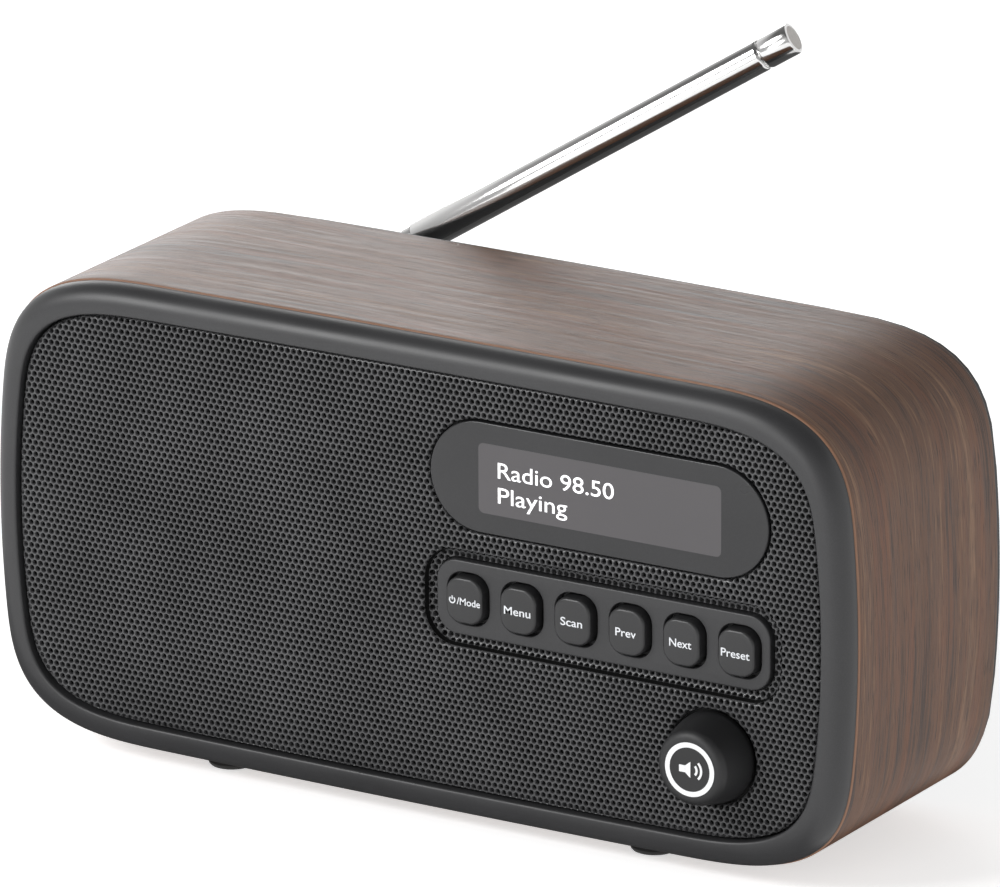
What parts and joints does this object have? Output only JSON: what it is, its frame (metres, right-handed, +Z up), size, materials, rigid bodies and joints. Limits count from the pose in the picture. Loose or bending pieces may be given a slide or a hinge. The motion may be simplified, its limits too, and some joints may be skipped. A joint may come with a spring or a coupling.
{
  "type": "tabletop radio",
  "caption": "Compact tabletop radio with a walnut-wrapped bowed cabinet, perforated metal front, pill-shaped display, button strip, rotary knob and telescopic antenna.",
  "frame": {"origin": "On the table under the middle of the bounding box, which runs from the knob face back to the antenna tip and across the cabinet width; the feet stand on z = 0.", "axes": "+X to the right seen from the front, +Y from the front of the radio to its back, +Z up"},
  "size_m": [0.213, 0.1082, 0.1581],
  "materials": {
    "cabinet_board": "bare",
    "walnut": "satin",
    "bezel_plastic": "satin",
    "inner_plastic": "matte",
    "grille_metal": "satin",
    "scrim_cloth": "matte",
    "lens_plastic": "satin",
    "display_glass": "gloss",
    "ribbon_film": "satin",
    "panel_plastic": "matte",
    "button_plastic": "matte",
    "board_laminate": "satin",
    "part_plastic": "matte",
    "bright_steel": "brushed",
    "nylon": "matte",
    "knob_rubber": "matte",
    "can_metal": "satin",
    "capacitor_sleeve": "gloss",
    "frame_metal": "satin",
    "ferrite": "matte",
    "coil_copper": "satin",
    "spider_cloth": "matte",
    "cone_paper": "matte",
    "surround_rubber": "satin",
    "rear_plastic": "matte",
    "black_steel": "satin",
    "cell_wrap": "gloss",
    "foot_rubber": "matte",
    "antenna_chrome": "mirror"
  },
  "bodies": {
    "cabinet": {"cabinet_shell": "cabinet_board", "veneer_wrap": "walnut", "front_bezel": "bezel_plastic", "front_baffle": "inner_plastic", "speaker_grille": "grille_metal", "grille_scrim": "scrim_cloth", "display_lens": "lens_plastic", "display_panel": "display_glass", "display_holder": "inner_plastic", "display_ribbon": "ribbon_film", "button_panel": "panel_plastic", "keypad_board": "board_laminate", "tact_switches": "part_plastic", "board_screws": "bright_steel", "encoder_body": "can_metal", "encoder_nut": "bright_steel", "main_board": "board_laminate", "tuner_module": "can_metal", "amplifier_chip": "part_plastic", "capacitors": "capacitor_sleeve", "board_connectors": "nylon", "dc_jack": "part_plastic", "headphone_jack": "part_plastic", "speaker_frame": "frame_metal", "speaker_magnet": "ferrite", "speaker_top_plate": "bright_steel", "speaker_back_plate": "bright_steel", "speaker_coil": "coil_copper", "speaker_spider": "spider_cloth", "speaker_cone": "cone_paper", "speaker_surround": "surround_rubber", "speaker_dust_cap": "cone_paper", "speaker_gasket": "surround_rubber", "speaker_screws": "bright_steel", "rear_cover": "rear_plastic", "rear_screws": "black_steel", "battery_box": "inner_plastic", "battery_contacts": "can_metal", "battery_cells": "cell_wrap", "rubber_feet": "foot_rubber"},
    "button_power": {"button_power": "button_plastic"},
    "button_menu": {"button_menu": "button_plastic"},
    "button_scan": {"button_scan": "button_plastic"},
    "button_prev": {"button_prev": "button_plastic"},
    "button_next": {"button_next": "button_plastic"},
    "button_preset": {"button_preset": "button_plastic"},
    "dial_push": {"encoder_carrier": "nylon"},
    "dial": {"encoder_shaft": "bright_steel", "volume_knob": "knob_rubber"},
    "battery_door": {"battery_door": "rear_plastic"},
    "antenna_swivel": {"antenna_swivel": "antenna_chrome", "antenna_hinge_pin": "bright_steel"},
    "antenna_arm": {"antenna_knuckle": "antenna_chrome", "antenna_section_1": "antenna_chrome"},
    "antenna_stage_2": {"antenna_section_2": "antenna_chrome"},
    "antenna_stage_3": {"antenna_section_3": "antenna_chrome"},
    "antenna_stage_4": {"antenna_section_4": "antenna_chrome"},
    "antenna_stage_5": {"antenna_section_5": "antenna_chrome", "antenna_tip": "antenna_chrome"}
  },
  "joints": [
    {"name": "power_press", "type": "slide", "parent": "cabinet", "child": "button_power", "axis": [0, 1, 0], "range_m": [0, 0.0006], "stiffness_N_per_m": 1500, "springref_m": -0.0003},
    {"name": "menu_press", "type": "slide", "parent": "cabinet", "child": "button_menu", "axis": [0, 1, 0], "range_m": [0, 0.0006], "stiffness_N_per_m": 1500, "springref_m": -0.0003},
    {"name": "scan_press", "type": "slide", "parent": "cabinet", "child": "button_scan", "axis": [0, 1, 0], "range_m": [0, 0.0006], "stiffness_N_per_m": 1500, "springref_m": -0.0003},
    {"name": "prev_press", "type": "slide", "parent": "cabinet", "child": "button_prev", "axis": [0, 1, 0], "range_m": [0, 0.0006], "stiffness_N_per_m": 1500, "springref_m": -0.0003},
    {"name": "next_press", "type": "slide", "parent": "cabinet", "child": "button_next", "axis": [0, 1, 0], "range_m": [0, 0.0006], "stiffness_N_per_m": 1500, "springref_m": -0.0003},
    {"name": "preset_press", "type": "slide", "parent": "cabinet", "child": "button_preset", "axis": [0, 1, 0], "range_m": [0, 0.0006], "stiffness_N_per_m": 1500, "springref_m": -0.0003},
    {"name": "dial_press", "type": "slide", "parent": "cabinet", "child": "dial_push", "axis": [0, 1, 0], "range_m": [0, 0.0005], "stiffness_N_per_m": 3000, "springref_m": -0.0003},
    {"name": "dial_turn", "type": "hinge", "parent": "dial_push", "child": "dial", "pos_m": [0.0734, -0.045, 0.0274], "axis": [0, 1, 0], "continuous": true},
    {"name": "battery_door_open", "type": "hinge", "parent": "cabinet", "child": "battery_door", "pos_m": [-0.05, 0.019, 0.0185], "axis": [-1, 0, 0], "range_deg": [0, 95]},
    {"name": "antenna_turn", "type": "hinge", "parent": "cabinet", "child": "antenna_swivel", "pos_m": [-0.049, 0.026, 0.0998], "axis": [0, -1, 0], "range_deg": [-32.5, 146.5]},
    {"name": "antenna_tilt", "type": "hinge", "parent": "antenna_swivel", "child": "antenna_arm", "pos_m": [-0.049, 0.026, 0.0998], "axis": [-0.5388, 0, 0.8425], "range_deg": [-13.5, 76.5]},
    {"name": "antenna_extend_1", "type": "slide", "parent": "antenna_arm", "child": "antenna_stage_2", "axis": [0.8192, 0.2334, 0.5239], "range_m": [0, 0.068]},
    {"name": "antenna_extend_2", "type": "slide", "parent": "antenna_stage_2", "child": "antenna_stage_3", "axis": [0.8192, 0.2334, 0.5239], "range_m": [0, 0.068]},
    {"name": "antenna_extend_3", "type": "slide", "parent": "antenna_stage_3", "child": "antenna_stage_4", "axis": [0.8192, 0.2334, 0.5239], "range_m": [0, 0.068]},
    {"name": "antenna_extend_4", "type": "slide", "parent": "antenna_stage_4", "child": "antenna_stage_5", "axis": [0.8192, 0.2334, 0.5239], "range_m": [0, 0.068]}
  ]
}
